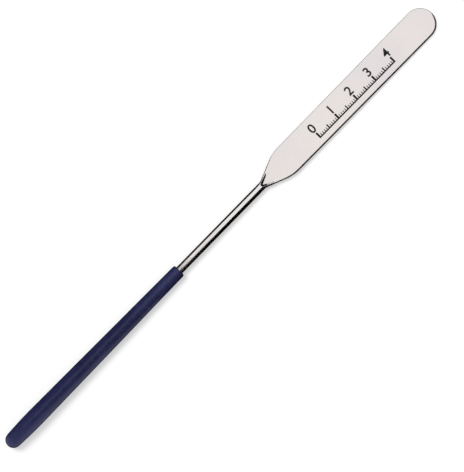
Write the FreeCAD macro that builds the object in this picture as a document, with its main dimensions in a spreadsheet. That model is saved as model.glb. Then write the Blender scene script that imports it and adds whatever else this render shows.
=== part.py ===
import FreeCAD, Part
import math
import os
import Sketcher

# A flat mixing and palette knife: a round-ended steel blade soldered in the split end
# of a steel rod, with a vinyl grip dipped over the rod's other end.
#
# Every piece is drawn level: X runs along the rod from the butt of the grip to the tip
# of the blade, Y across the blade and Z up, with zero at the butt on the rod's axis. A
# placement then lays all of them down as the knife rests, on the front rim of the grip
# and the tip of the blade.

doc = FreeCAD.newDocument("palette_knife")

# Driving sizes, in millimetres and degrees. Lengths along the knife start at the butt.
driving_sizes = [
    ("overall_length", 228.6, "butt of the grip to tip of the blade"),
    ("blade_width_heel", 11.8, "across the blade where the shoulders end"),
    ("blade_width_tip", 12.4, "across the blade where its round tip starts"),
    ("blade_thickness", 1.2, "flat strip"),
    ("edge_land", 0.1, "flat left on the edge between its two roundings"),
    ("neck_start", 137.5, "where the shoulders spread from the rod"),
    ("shoulder_angle", 22.3, "each shoulder against the knife's axis"),
    ("shoulder_blend", 15.0, "radius between shoulder and side"),
    ("rod_diameter", 3.175, "drawn wire"),
    ("rod_end_chamfer", 0.3, "on the rod's end inside the grip"),
    ("tongue_length", 3.2, "blade inside the rod, behind the neck"),
    ("solder_length", 0.5, "solder between the tongue and the end of the slot"),
    ("seat_depth", 0.1, "prongs let into each face of the blade"),
    ("prong_length", 3.7, "from the neck to the ends of the prongs"),
    ("prong_end_height", 2.0, "over both pairs of prongs at their ends"),
    ("flat_share", 30.0, "half of the wire's arc that is pressed flat above and below"),
    ("notch_lead", 0.1, "from the deepest point of the notch to the neck"),
    ("notch_nose", 0.4, "radius at the deepest point of the notch"),
    ("notch_angle", 24.0, "each side of the notch against the axis"),
    ("notch_slope", 35.0, "how far the notch's wall leans back"),
    ("grip_length", 92.4, "butt to front face"),
    ("grip_diameter", 6.95, "at the fattest place"),
    ("grip_fattest_at", 15.0, "from the butt to the fattest place"),
    ("grip_belly", 200.0, "radius of the grip's swelling, seen from the side"),
    ("grip_front_diameter", 5.3, "at the front face, before its rounding"),
    ("grip_front_rounding", 0.8, "rim of the front face"),
    ("butt_wall", 4.5, "vinyl beyond the rod's end"),
]

sheet = doc.addObject("Spreadsheet::Sheet", "Sizes")
size = {}
for row, (alias, number, note) in enumerate(driving_sizes, start=1):
    sheet.set("A%d" % row, alias)
    sheet.set("B%d" % row, str(number))
    sheet.setAlias("B%d" % row, alias)
    sheet.set("C%d" % row, note)
    size[alias] = number
doc.recompute()

# Two places, or a direction's part and none, count as the same within this.
slack = 0.01

# Sizes that follow from the driving ones and are used by more than one piece.
derived = doc.addObject("App::VarSet", "Derived")


def derive(name, expression):
    """Add a size worked out from the others, and give its present value."""
    derived.addProperty("App::PropertyFloat", name)
    derived.setExpression(name, expression)
    doc.recompute()
    return getattr(derived, name)


rod_radius = derive("rod_radius", "Sizes.rod_diameter / 2")
slot_height = derive("slot_height", "Sizes.blade_thickness - 2 * Sizes.seat_depth")
tongue_half = derive(
    "tongue_half", "sqrt(Derived.rod_radius ^ 2 - (Derived.slot_height / 2) ^ 2)")
tongue_back = derive("tongue_back", "Sizes.neck_start - Sizes.tongue_length")
slot_back = derive("slot_back", "Derived.tongue_back - Sizes.solder_length")
prong_front = derive("prong_front", "Sizes.neck_start + Sizes.prong_length")
prong_half = derive(
    "prong_half", "Derived.tongue_half + Sizes.prong_length * tan(Sizes.shoulder_angle)")
notch_back = derive("notch_back", "Sizes.neck_start - Sizes.notch_lead")
heel_back = derive("heel_back", "Derived.notch_back - Sizes.notch_nose")
tip_radius = derive("tip_radius", "Sizes.blade_width_tip / 2")
grip_radius = derive("grip_radius", "Sizes.grip_diameter / 2")
front_radius = derive("front_radius", "Sizes.grip_front_diameter / 2")

# The knife rests on the rounded rim of the grip's front and the rounded edge of the
# blade's tip, so the floor is the common tangent under those two roundings.
rim_x = derive("rim_x", "Sizes.grip_length - Sizes.grip_front_rounding")
rim_drop = derive("rim_drop", "Derived.front_radius - Sizes.grip_front_rounding")
edge_rounding = derive("edge_rounding", "(Sizes.blade_thickness - Sizes.edge_land) / 2")
edge_x = derive("edge_x", "Sizes.overall_length - Derived.edge_rounding")
rest_span = derive("rest_span", "Derived.edge_x - Derived.rim_x")
rest_rise = derive("rest_rise", "Derived.rim_drop - Sizes.edge_land / 2")
rest_pitch = derive(
    "rest_pitch",
    "atan(Derived.rest_rise / Derived.rest_span) / 1 deg"
    " + asin((Sizes.grip_front_rounding - Derived.edge_rounding)"
    " / sqrt(Derived.rest_rise ^ 2 + Derived.rest_span ^ 2)) / 1 deg")
rest_height = derive(
    "rest_height",
    "Sizes.grip_front_rounding + Derived.rim_x * sin(Derived.rest_pitch)"
    " + Derived.rim_drop * cos(Derived.rest_pitch)")
rest_shift = derive(
    "rest_shift", "-Sizes.overall_length / 2 * cos(Derived.rest_pitch)")


def lay_down(piece, label):
    """Name a finished piece and put it where it lies when the knife rests."""
    piece.Label = label
    piece.Placement = FreeCAD.Placement(
        FreeCAD.Vector(rest_shift, 0, rest_height),
        FreeCAD.Rotation(FreeCAD.Vector(0, 1, 0), rest_pitch))
    piece.setExpression("Placement.Base.x", "Derived.rest_shift")
    piece.setExpression("Placement.Base.z", "Derived.rest_height")
    piece.setExpression("Placement.Rotation.Angle", "Derived.rest_pitch")


def new_sketch(body, name, plane, offset=None):
    """Start a sketch on one of the body's own planes, raised by an expression."""
    sketch = body.newObject("Sketcher::SketchObject", name)
    support = [item for item in body.Origin.OriginFeatures if item.Role == plane][0]
    sketch.AttachmentSupport = [(support, "")]
    sketch.MapMode = "FlatFace"
    if offset:
        sketch.setExpression("AttachmentOffset.Base.z", offset)
    return sketch


def add_line(sketch, start, end):
    """Draw a straight line between two (x, y) points."""
    first = FreeCAD.Vector(start[0], start[1], 0)
    last = FreeCAD.Vector(end[0], end[1], 0)
    return sketch.addGeometry(Part.LineSegment(first, last), False)


def add_arc(sketch, centre, radius, start_angle, end_angle):
    """Draw an arc anticlockwise between two angles in degrees."""
    circle = Part.Circle(
        FreeCAD.Vector(centre[0], centre[1], 0), FreeCAD.Vector(0, 0, 1), radius)
    arc = Part.ArcOfCircle(circle, math.radians(start_angle), math.radians(end_angle))
    return sketch.addGeometry(arc, False)


def hold(sketch, *terms, bound=None):
    """Add a constraint, and bind its size to an expression."""
    index = sketch.addConstraint(Sketcher.Constraint(*terms))
    if bound:
        sketch.setExpression("Constraints[%d]" % index, bound)


def hold_point(sketch, item, end, place, x_bound, y_bound):
    """Fix one end of a line or arc at bound coordinates; None leaves it on the axis."""
    hold(sketch, "DistanceX", item, end, place[0], bound=x_bound)
    if y_bound is None:
        hold(sketch, "PointOnObject", item, end, -1)
    else:
        hold(sketch, "DistanceY", item, end, place[1], bound=y_bound)


def draw_loop(sketch, corners):
    """Draw a closed loop of lines through (x, y, x expression, y expression) corners."""
    count = len(corners)
    lines = []
    for index in range(count):
        start = corners[index]
        end = corners[(index + 1) % count]
        lines.append(add_line(sketch, start, end))
    for index in range(count):
        hold(sketch, "Coincident", lines[index], 2, lines[(index + 1) % count], 1)
        x, y, x_bound, y_bound = corners[index]
        hold_point(sketch, lines[index], 1, (x, y), x_bound, y_bound)
    return lines


def pad(body, sketch, length, midplane=False):
    """Extrude a sketch by a bound length."""
    feature = body.newObject("PartDesign::Pad", sketch.Name + "Pad")
    feature.Profile = sketch
    sketch.Visibility = False
    feature.Midplane = midplane
    feature.setExpression("Length", length)
    doc.recompute()
    return feature


def edge_names(shape, wanted):
    """Give the names of the edges that pass a test on their middle and direction."""
    names = []
    for number, edge in enumerate(shape.Edges, start=1):
        middle = edge.valueAt((edge.FirstParameter + edge.LastParameter) / 2)
        along = edge.tangentAt((edge.FirstParameter + edge.LastParameter) / 2)
        if wanted(middle, along):
            names.append("Edge%d" % number)
    return names


def cut_volume(body, feature, before):
    """Stop if a cut has taken nothing away."""
    doc.recompute()
    if not feature.Shape.Volume < before - slack:
        raise RuntimeError("%s of %s cuts nothing" % (feature.Name, body.Name))


def notch_outline(sketch):
    """Draw the open V with a round nose, and give its two front ends."""
    angle = size["notch_angle"]
    nose = size["notch_nose"]
    centre = (notch_back + nose, 0)
    lean = math.radians(angle)
    touch = (centre[0] - nose * math.sin(lean), nose * math.cos(lean))
    end = (prong_front, touch[1] + (prong_front - touch[0]) * math.tan(lean))
    upper = add_line(sketch, touch, end)
    round_end = add_arc(sketch, centre, nose, 90 + angle, 270 - angle)
    lower = add_line(sketch, (touch[0], -touch[1]), (end[0], -end[1]))
    hold(sketch, "Tangent", upper, 1, round_end, 1)
    hold(sketch, "Tangent", lower, 1, round_end, 2)
    hold(sketch, "Symmetric", upper, 2, lower, 2, -1)
    hold(sketch, "Radius", round_end, nose, bound="Sizes.notch_nose")
    hold_point(sketch, round_end, 3, centre, "Derived.notch_back + Sizes.notch_nose", None)
    hold(sketch, "Angle", upper, lean, bound="Sizes.notch_angle * 1 deg")
    return upper, lower, end


# Blade: a strip of spring steel blanked to outline, its edges rounded, with a
# narrower tongue behind the shoulders.
blade = doc.addObject("PartDesign::Body", "Blade")
outline = new_sketch(blade, "BladeOutline", "XY_Plane")
heel_half = size["blade_width_heel"] / 2
shoulder_run = (heel_half - tongue_half) / math.tan(math.radians(size["shoulder_angle"]))
corner = (size["neck_start"] + shoulder_run, heel_half)
tip_centre = size["overall_length"] - tip_radius
neck = (size["neck_start"], tongue_half)
heel = add_line(outline, (heel_back, -tongue_half), (heel_back, tongue_half))
neck_up = add_line(outline, (heel_back, tongue_half), neck)
shoulder_up = add_line(outline, neck, corner)
side_up = add_line(outline, corner, (tip_centre, tip_radius))
tip = add_arc(outline, (tip_centre, 0), tip_radius, -90, 90)
side_down = add_line(outline, (tip_centre, -tip_radius), (corner[0], -corner[1]))
shoulder_down = add_line(outline, (corner[0], -corner[1]), (neck[0], -neck[1]))
neck_down = add_line(outline, (neck[0], -neck[1]), (heel_back, -tongue_half))
hold(outline, "Coincident", heel, 2, neck_up, 1)
hold(outline, "Coincident", neck_up, 2, shoulder_up, 1)
hold(outline, "Coincident", shoulder_up, 2, side_up, 1)
hold(outline, "Tangent", side_up, 2, tip, 2)
hold(outline, "Tangent", tip, 1, side_down, 1)
hold(outline, "Coincident", side_down, 2, shoulder_down, 1)
hold(outline, "Coincident", shoulder_down, 2, neck_down, 1)
hold(outline, "Coincident", neck_down, 2, heel, 1)
hold(outline, "Symmetric", heel, 1, heel, 2, -1)
hold(outline, "Symmetric", neck_up, 2, neck_down, 1, -1)
hold(outline, "Symmetric", shoulder_up, 2, shoulder_down, 1, -1)
hold_point(outline, neck_up, 1, (heel_back, tongue_half),
           "Derived.heel_back", "Derived.tongue_half")
hold_point(outline, shoulder_up, 1, neck, "Sizes.neck_start", "Derived.tongue_half")
hold(outline, "DistanceY", shoulder_up, 2, heel_half, bound="Sizes.blade_width_heel / 2")
hold(outline, "Angle", shoulder_up, math.radians(size["shoulder_angle"]),
     bound="Sizes.shoulder_angle * 1 deg")
hold(outline, "Radius", tip, tip_radius, bound="Derived.tip_radius")
hold_point(outline, tip, 3, (tip_centre, 0),
           "Sizes.overall_length - Derived.tip_radius", None)
strip = pad(blade, outline, "Sizes.blade_thickness", midplane=True)

blend = blade.newObject("PartDesign::Fillet", "ShoulderBlend")
blend.Base = (strip, edge_names(
    strip.Shape,
    lambda middle, along: abs(along.z) > 1 - slack and abs(middle.x - corner[0]) < slack))
blend.setExpression("Radius", "Sizes.shoulder_blend")
doc.recompute()

rounding = blade.newObject("PartDesign::Fillet", "EdgeRounding")
rounding.Base = (blend, edge_names(
    blend.Shape,
    lambda middle, along: abs(along.z) < slack and middle.x > size["neck_start"]))
rounding.setExpression("Radius", "Derived.edge_rounding")
doc.recompute()

tongue_sketch = new_sketch(blade, "TongueOutline", "XY_Plane")
draw_loop(tongue_sketch, [
    (tongue_back, -tongue_half, "Derived.tongue_back", "-Derived.tongue_half"),
    (size["neck_start"], -tongue_half, "Sizes.neck_start", "-Derived.tongue_half"),
    (size["neck_start"], tongue_half, "Sizes.neck_start", "Derived.tongue_half"),
    (tongue_back, tongue_half, "Derived.tongue_back", "Derived.tongue_half"),
])
tongue = pad(blade, tongue_sketch, "Derived.slot_height", midplane=True)

# Shallow seats for the prongs, sunk into both faces around the V.
seat_sketch = new_sketch(blade, "SeatOutline", "XY_Plane", "Derived.slot_height / 2")
upper, lower, notch_end = notch_outline(seat_sketch)
seat_side = prong_half + size["seat_depth"]
seat_corners = [
    (prong_front, notch_end[1]), (prong_front, seat_side), (slot_back, seat_side),
    (slot_back, -seat_side), (prong_front, -seat_side), (prong_front, -notch_end[1])]
seat_lines = [add_line(seat_sketch, seat_corners[index], seat_corners[index + 1])
              for index in range(len(seat_corners) - 1)]
hold(seat_sketch, "Coincident", upper, 2, seat_lines[0], 1)
for before, after in zip(seat_lines, seat_lines[1:]):
    hold(seat_sketch, "Coincident", before, 2, after, 1)
hold(seat_sketch, "Coincident", seat_lines[-1], 2, lower, 2)
hold(seat_sketch, "Vertical", seat_lines[0])
hold(seat_sketch, "Horizontal", seat_lines[1])
hold(seat_sketch, "Symmetric", seat_lines[1], 1, seat_lines[3], 2, -1)
hold(seat_sketch, "Symmetric", seat_lines[2], 1, seat_lines[2], 2, -1)
hold_point(seat_sketch, seat_lines[0], 2, (prong_front, seat_side),
           "Derived.prong_front", "Derived.prong_half + Sizes.seat_depth")
hold(seat_sketch, "DistanceX", seat_lines[2], 1, slot_back, bound="Derived.slot_back")
seats = blade.newObject("PartDesign::Pocket", "Seats")
seats.Profile = seat_sketch
seat_sketch.Visibility = False
seats.Reversed = True
seats.setExpression("Length", "Sizes.blade_thickness")
cut_volume(blade, seats, tongue.Shape.Volume)
lower_seats = blade.newObject("PartDesign::Mirrored", "LowerSeats")
lower_seats.Originals = [seats]
lower_seats.MirrorPlane = (
    [item for item in blade.Origin.OriginFeatures if item.Role == "XY_Plane"][0], [""])
blade.Tip = lower_seats
cut_volume(blade, lower_seats, seats.Shape.Volume)
lay_down(blade, "blade")

# Rod: drawn steel wire. Its front end is spread, split level for the blade's tongue
# and notched, which leaves two prongs on each face of the blade.
rod = doc.addObject("PartDesign::Body", "Rod")
rod_sketch = new_sketch(rod, "RodSection", "YZ_Plane", "Sizes.butt_wall")
rod_circle = rod_sketch.addGeometry(
    Part.Circle(FreeCAD.Vector(0, 0, 0), FreeCAD.Vector(0, 0, 1), rod_radius), False)
hold(rod_sketch, "Coincident", rod_circle, 3, -1, 1)
hold(rod_sketch, "Radius", rod_circle, rod_radius, bound="Derived.rod_radius")
wire = pad(rod, rod_sketch, "Sizes.neck_start - Sizes.butt_wall")
rod_chamfer = rod.newObject("PartDesign::Chamfer", "HiddenEndChamfer")
rod_chamfer.Base = (wire, edge_names(
    wire.Shape,
    lambda middle, along: abs(along.x) < slack and middle.x < size["neck_start"] / 2))
rod_chamfer.setExpression("Size", "Sizes.rod_end_chamfer")
doc.recompute()

# The spread end runs from the wire's circle to a flat oval. Both outlines have four
# parts, so that each part of the circle runs out into one part of the oval.
flat_share = size["flat_share"]
circle_sketch = new_sketch(rod, "SpreadRoot", "YZ_Plane", "Sizes.neck_start")
quarters = [(-90 + flat_share, 90 - flat_share), (90 - flat_share, 90 + flat_share),
            (90 + flat_share, 270 - flat_share), (270 - flat_share, 270 + flat_share)]
arcs = [add_arc(circle_sketch, (0, 0), rod_radius, start, end) for start, end in quarters]
for index, arc in enumerate(arcs):
    hold(circle_sketch, "Coincident", arc, 2, arcs[(index + 1) % 4], 1)
for arc in arcs[:3]:
    hold(circle_sketch, "Coincident", arc, 3, -1, 1)
hold(circle_sketch, "Equal", arcs[3], arcs[0])
hold(circle_sketch, "Radius", arcs[0], rod_radius, bound="Derived.rod_radius")
corner_y = rod_radius * math.sin(math.radians(flat_share))
hold(circle_sketch, "DistanceX", arcs[0], 2, corner_y,
     bound="Derived.rod_radius * sin(Sizes.flat_share * 1 deg)")
hold(circle_sketch, "Vertical", arcs[0], 1, arcs[0], 2)
hold(circle_sketch, "Vertical", arcs[2], 1, arcs[2], 2)
hold(circle_sketch, "Horizontal", arcs[1], 1, arcs[1], 2)

oval_sketch = new_sketch(rod, "SpreadEnd", "YZ_Plane", "Derived.prong_front")
oval_radius = size["prong_end_height"] / 2
oval_centre = prong_half - oval_radius
right = add_arc(oval_sketch, (oval_centre, 0), oval_radius, -90, 90)
top = add_line(oval_sketch, (oval_centre, oval_radius), (-oval_centre, oval_radius))
left = add_arc(oval_sketch, (-oval_centre, 0), oval_radius, 90, 270)
bottom = add_line(oval_sketch, (-oval_centre, -oval_radius), (oval_centre, -oval_radius))
hold(oval_sketch, "Tangent", right, 2, top, 1)
hold(oval_sketch, "Tangent", top, 2, left, 1)
hold(oval_sketch, "Tangent", left, 2, bottom, 1)
hold(oval_sketch, "Tangent", bottom, 2, right, 1)
hold(oval_sketch, "Horizontal", top)
hold(oval_sketch, "Radius", right, oval_radius, bound="Sizes.prong_end_height / 2")
hold_point(oval_sketch, right, 3, (oval_centre, 0),
           "Derived.prong_half - Sizes.prong_end_height / 2", None)
hold(oval_sketch, "Symmetric", right, 3, left, 3, -1, 1)
spread = rod.newObject("PartDesign::AdditiveLoft", "SpreadEndLoft")
spread.Profile = circle_sketch
spread.Sections = [oval_sketch]
spread.Ruled = True
circle_sketch.Visibility = False
oval_sketch.Visibility = False
doc.recompute()

# The slot is open at the front and both sides, and as thick as the seated tongue.
slot_sketch = new_sketch(rod, "SlotOutline", "XZ_Plane")
slot_front = prong_front + size["seat_depth"]
draw_loop(slot_sketch, [
    (slot_back, -slot_height / 2, "Derived.slot_back", "-Derived.slot_height / 2"),
    (slot_front, -slot_height / 2, "Derived.prong_front + Sizes.seat_depth",
     "-Derived.slot_height / 2"),
    (slot_front, slot_height / 2, "Derived.prong_front + Sizes.seat_depth",
     "Derived.slot_height / 2"),
    (slot_back, slot_height / 2, "Derived.slot_back", "Derived.slot_height / 2"),
])
slot = rod.newObject("PartDesign::Pocket", "Slot")
slot.Profile = slot_sketch
slot_sketch.Visibility = False
slot.Midplane = True
slot.Type = "ThroughAll"
cut_volume(rod, slot, spread.Shape.Volume)

# The notch leans back from the blade's face, and is the same above and below.
notch_sketch = new_sketch(rod, "NotchOutline", "XY_Plane", "Derived.slot_height / 2")
upper, lower, notch_end = notch_outline(notch_sketch)
past_front = (slot_front, notch_end[1])
front_up = add_line(notch_sketch, notch_end, past_front)
front = add_line(notch_sketch, past_front, (slot_front, -notch_end[1]))
front_down = add_line(notch_sketch, (slot_front, -notch_end[1]),
                      (notch_end[0], -notch_end[1]))
hold(notch_sketch, "Coincident", upper, 2, front_up, 1)
hold(notch_sketch, "Coincident", front_up, 2, front, 1)
hold(notch_sketch, "Coincident", front, 2, front_down, 1)
hold(notch_sketch, "Coincident", front_down, 2, lower, 2)
hold(notch_sketch, "Horizontal", front_up)
hold(notch_sketch, "Vertical", front)
hold(notch_sketch, "Horizontal", front_down)
hold(notch_sketch, "DistanceX", upper, 2, prong_front, bound="Derived.prong_front")
hold(notch_sketch, "DistanceX", front, 1, slot_front,
     bound="Derived.prong_front + Sizes.seat_depth")
notch = rod.newObject("PartDesign::Pocket", "Notch")
notch.Profile = notch_sketch
notch_sketch.Visibility = False
notch.Reversed = True
notch.setExpression("Length", "Derived.rod_radius")
notch.setExpression("TaperAngle", "Sizes.notch_slope * 1 deg")
cut_volume(rod, notch, slot.Shape.Volume)
lower_notch = rod.newObject("PartDesign::Mirrored", "LowerNotch")
lower_notch.Originals = [notch]
lower_notch.MirrorPlane = (
    [item for item in rod.Origin.OriginFeatures if item.Role == "XY_Plane"][0], [""])
rod.Tip = lower_notch
cut_volume(rod, lower_notch, notch.Shape.Volume)
lay_down(rod, "shank_rod")

# Solder: the plug that fills the slot behind the tongue, flush with the wire.
solder_block = doc.addObject("Part::Box", "SolderBlock")
solder_block.setExpression("Length", "Sizes.solder_length")
solder_block.setExpression("Width", "Sizes.rod_diameter")
solder_block.setExpression("Height", "Derived.slot_height")
solder_block.setExpression("Placement.Base.x", "Derived.slot_back")
solder_block.setExpression("Placement.Base.y", "-Derived.rod_radius")
solder_block.setExpression("Placement.Base.z", "-Derived.slot_height / 2")
solder_round = doc.addObject("Part::Cylinder", "SolderRound")
solder_round.Placement.Rotation = FreeCAD.Rotation(FreeCAD.Vector(0, 1, 0), 90)
solder_round.setExpression("Radius", "Derived.rod_radius")
solder_round.setExpression("Height", "Sizes.solder_length")
solder_round.setExpression("Placement.Base.x", "Derived.slot_back")
solder = doc.addObject("Part::Common", "Solder")
solder.Base = solder_block
solder.Tool = solder_round
lay_down(solder, "solder_fill")

# Grip: soft vinyl dipped over the wire, fattest near its round butt, where the drip
# gathers, and trimmed square at the front.
grip = doc.addObject("PartDesign::Body", "Grip")
grip_sketch = new_sketch(grip, "GripOutline", "XZ_Plane")
belly = size["grip_belly"]
belly_centre = (size["grip_fattest_at"], grip_radius - belly)
# The butt's round end touches the axis at the origin and the belly's curve inside.
dome = (belly ** 2 - belly_centre[0] ** 2 - belly_centre[1] ** 2) / (
    2 * (belly - belly_centre[0]))
dome_angle = math.degrees(math.atan2(0 - belly_centre[1], dome - belly_centre[0]))
chamfer = size["rod_end_chamfer"]
fall = (grip_radius - front_radius) / (size["grip_length"] - size["grip_fattest_at"])
belly_end = 90 - math.degrees(fall)
belly_end_x = belly_centre[0] + belly * math.cos(math.radians(belly_end))
belly_end_y = belly_centre[1] + belly * math.sin(math.radians(belly_end))
rim = size["grip_front_rounding"]
dome_arc = add_arc(grip_sketch, (dome, 0), dome, dome_angle, 180)
belly_arc = add_arc(grip_sketch, belly_centre, belly, belly_end, dome_angle)
taper = add_line(grip_sketch, (belly_end_x, belly_end_y), (rim_x, front_radius))
rim_arc = add_arc(grip_sketch, (rim_x, rim_drop), rim, 0, 90)
face = add_line(grip_sketch, (size["grip_length"], rim_drop),
                (size["grip_length"], rod_radius))
bore = add_line(grip_sketch, (size["grip_length"], rod_radius),
                (size["butt_wall"] + chamfer, rod_radius))
bore_chamfer = add_line(grip_sketch, (size["butt_wall"] + chamfer, rod_radius),
                        (size["butt_wall"], rod_radius - chamfer))
bore_end = add_line(grip_sketch, (size["butt_wall"], rod_radius - chamfer),
                    (size["butt_wall"], 0))
axis_line = add_line(grip_sketch, (size["butt_wall"], 0), (0, 0))
hold(grip_sketch, "Tangent", belly_arc, 2, dome_arc, 1)
hold(grip_sketch, "Tangent", belly_arc, 1, taper, 1)
hold(grip_sketch, "Coincident", taper, 2, rim_arc, 2)
hold(grip_sketch, "Tangent", rim_arc, 1, face, 1)
hold(grip_sketch, "Coincident", face, 2, bore, 1)
hold(grip_sketch, "Coincident", bore, 2, bore_chamfer, 1)
hold(grip_sketch, "Coincident", bore_chamfer, 2, bore_end, 1)
hold(grip_sketch, "Coincident", bore_end, 2, axis_line, 1)
hold(grip_sketch, "Coincident", axis_line, 2, dome_arc, 2)
hold(grip_sketch, "Coincident", axis_line, 2, -1, 1)
hold(grip_sketch, "PointOnObject", dome_arc, 3, -1)
hold(grip_sketch, "Radius", belly_arc, belly, bound="Sizes.grip_belly")
hold(grip_sketch, "DistanceX", belly_arc, 3, belly_centre[0], bound="Sizes.grip_fattest_at")
hold(grip_sketch, "DistanceY", belly_arc, 3, belly_centre[1],
     bound="Derived.grip_radius - Sizes.grip_belly")
hold(grip_sketch, "DistanceX", taper, 2, rim_x, bound="Derived.rim_x")
hold(grip_sketch, "Vertical", face)
hold(grip_sketch, "Radius", rim_arc, rim, bound="Sizes.grip_front_rounding")
hold_point(grip_sketch, rim_arc, 3, (rim_x, rim_drop), "Derived.rim_x", "Derived.rim_drop")
hold(grip_sketch, "Horizontal", bore)
hold_point(grip_sketch, bore, 2, (size["butt_wall"] + chamfer, rod_radius),
           "Sizes.butt_wall + Sizes.rod_end_chamfer", "Derived.rod_radius")
hold_point(grip_sketch, bore_end, 1, (size["butt_wall"], rod_radius - chamfer),
           "Sizes.butt_wall", "Derived.rod_radius - Sizes.rod_end_chamfer")
hold_point(grip_sketch, bore_end, 2, (size["butt_wall"], 0), "Sizes.butt_wall", None)
grip_turn = grip.newObject("PartDesign::Revolution", "GripTurn")
grip_turn.Profile = grip_sketch
grip_turn.ReferenceAxis = (grip_sketch, ["H_Axis"])
grip_turn.Angle = 360
grip_sketch.Visibility = False
lay_down(grip, "grip")

doc.recompute()
pieces = [blade, rod, solder, grip]

failed = [item.Name for item in doc.Objects
          if "Invalid" in item.State or "Error" in item.State]
if failed:
    raise RuntimeError("failed objects: " + ", ".join(failed))
for item in doc.Objects:
    if item.TypeId == "Sketcher::SketchObject" and not item.FullyConstrained:
        raise RuntimeError("%s isn't fully constrained" % item.Name)
for piece in pieces:
    if piece.Shape.isNull() or not piece.Shape.isValid():
        raise RuntimeError("%s has no valid shape" % piece.Label)

os.makedirs("parts", exist_ok=True)
for piece in pieces:
    piece.Shape.exportStep("parts/%s.step" % piece.Label)
    box = piece.Shape.BoundBox
    print("%-12s solids %d volume %.2f  x %.2f..%.2f  y %.2f..%.2f  z %.2f..%.2f" % (
        piece.Label, len(piece.Shape.Solids), piece.Shape.Volume,
        box.XMin, box.XMax, box.YMin, box.YMax, box.ZMin, box.ZMax))
print("pitch %.4f height %.4f" % (derived.rest_pitch, derived.rest_height))
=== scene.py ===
import math

import bmesh
import bpy
from mathutils import Matrix, Vector, noise


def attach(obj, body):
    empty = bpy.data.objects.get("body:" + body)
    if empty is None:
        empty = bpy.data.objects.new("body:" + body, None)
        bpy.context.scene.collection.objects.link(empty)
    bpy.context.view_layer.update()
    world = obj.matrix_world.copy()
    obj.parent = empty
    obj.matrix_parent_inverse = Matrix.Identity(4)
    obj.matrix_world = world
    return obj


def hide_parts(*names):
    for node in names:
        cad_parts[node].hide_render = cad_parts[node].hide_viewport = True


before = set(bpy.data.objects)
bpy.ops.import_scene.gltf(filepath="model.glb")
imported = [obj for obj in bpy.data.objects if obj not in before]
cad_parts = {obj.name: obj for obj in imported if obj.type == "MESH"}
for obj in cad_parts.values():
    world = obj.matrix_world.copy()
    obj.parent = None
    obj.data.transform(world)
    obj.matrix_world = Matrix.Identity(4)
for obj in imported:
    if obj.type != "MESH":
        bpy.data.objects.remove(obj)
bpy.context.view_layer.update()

# Blade: one strip of spring steel, cut with sloping shoulders and a round tip. Its edges
# are rounded right over and polished, and its faces keep a fine satin grain. The narrow
# tongue behind the shoulders is soldered into the split end of the rod.
overall_length = 228.6
blade_thickness = 1.2
edge_rounding = 0.55
tongue_back = 134.3
tongue_half = 1.507
neck_x = 137.5
shoulder_angle = math.radians(22.3)
shoulder_blend = 15.0
heel_half = 5.9
tip_half = 6.2
tip_centre = overall_length - tip_half
tip_steps = 48
blend_steps = 12
rounding_steps = 8
face_margin = 0.3
cut_spacing = 3.0
face_wave = 0.012
face_wave_length = 14.0
polish_spread = 1.6
face_roughness = (0.24, 0.36)
mark_polish = 0.07
edge_smoothing = 0.18
hair_stretch = (55.0, 4200.0, 300.0)
hair_softness = 0.06
steel_cool = (0.760, 0.705, 0.720, 1)
steel_warm = (0.815, 0.765, 0.735, 1)
steel_bright = (0.88, 0.86, 0.855, 1)

# The knife lies on two roundings, the rim of the grip's front face and the blade's tip,
# so the floor is the common tangent under both. Pieces are drawn level in millimetres,
# with X along the knife from the butt, and are laid down from there in metres.
rim_x = 91.6
rim_drop = 1.85
rim_rounding = 0.8
rest_span = overall_length - edge_rounding - rim_x
rest_rise = rim_drop - (blade_thickness / 2 - edge_rounding)
rest_pitch = (math.atan2(rest_rise, rest_span)
              + math.asin((rim_rounding - edge_rounding) / math.hypot(rest_span, rest_rise)))
rest_height = rim_rounding + rim_x * math.sin(rest_pitch) + rim_drop * math.cos(rest_pitch)
rest_shift = -overall_length / 2 * math.cos(rest_pitch)
lay_down = (Matrix.Scale(0.001, 4)
            @ Matrix.Translation((rest_shift, 0, rest_height))
            @ Matrix.Rotation(rest_pitch, 4, "Y"))


def add_object(name, shape, material):
    """Put a bmesh in metres into the scene."""
    mesh = bpy.data.meshes.new(name)
    shape.to_mesh(mesh)
    shape.free()
    mesh.materials.append(material)
    made = bpy.data.objects.new(name, mesh)
    bpy.context.scene.collection.objects.link(made)
    return made


def make_piece(name, shape, material):
    """Turn a level bmesh in millimetres into a smooth piece where the knife lies."""
    shape.transform(lay_down)
    piece = add_object(name, shape, material)
    piece.data.shade_smooth()
    return piece


def points_in(items):
    """The points among the items that an operator returns."""
    return [item for item in items if isinstance(item, bmesh.types.BMVert)]


def whole(shape):
    """All points, edges and faces of a bmesh."""
    return shape.verts[:] + shape.edges[:] + shape.faces[:]


def turn_point(shape, point, centre, angle, steps):
    """Spin one point into an arc about a centre line along Z, and return its last point."""
    arc = bmesh.ops.spin(shape, geom=[point], cent=centre, axis=(0, 0, 1),
                         angle=angle, steps=steps, use_duplicate=False)
    return points_in(arc["geom_last"])[0]


def draw_to(shape, point, place):
    """Extrude a point to a new place as a straight edge, and return the new point."""
    drawn = bmesh.ops.extrude_vert_indiv(shape, verts=[point])
    drawn["verts"][0].co = Vector(place)
    return drawn["verts"][0]


def add_node(tree, kind, inputs, **settings):
    """Add a shader node, set its properties, and set or connect its inputs."""
    node = tree.nodes.new("ShaderNode" + kind)
    for name, value in settings.items():
        setattr(node, name, value)
    for name, value in inputs.items():
        if isinstance(value, bpy.types.NodeSocket):
            tree.links.new(value, node.inputs[name])
        else:
            node.inputs[name].default_value = value
    return node


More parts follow.
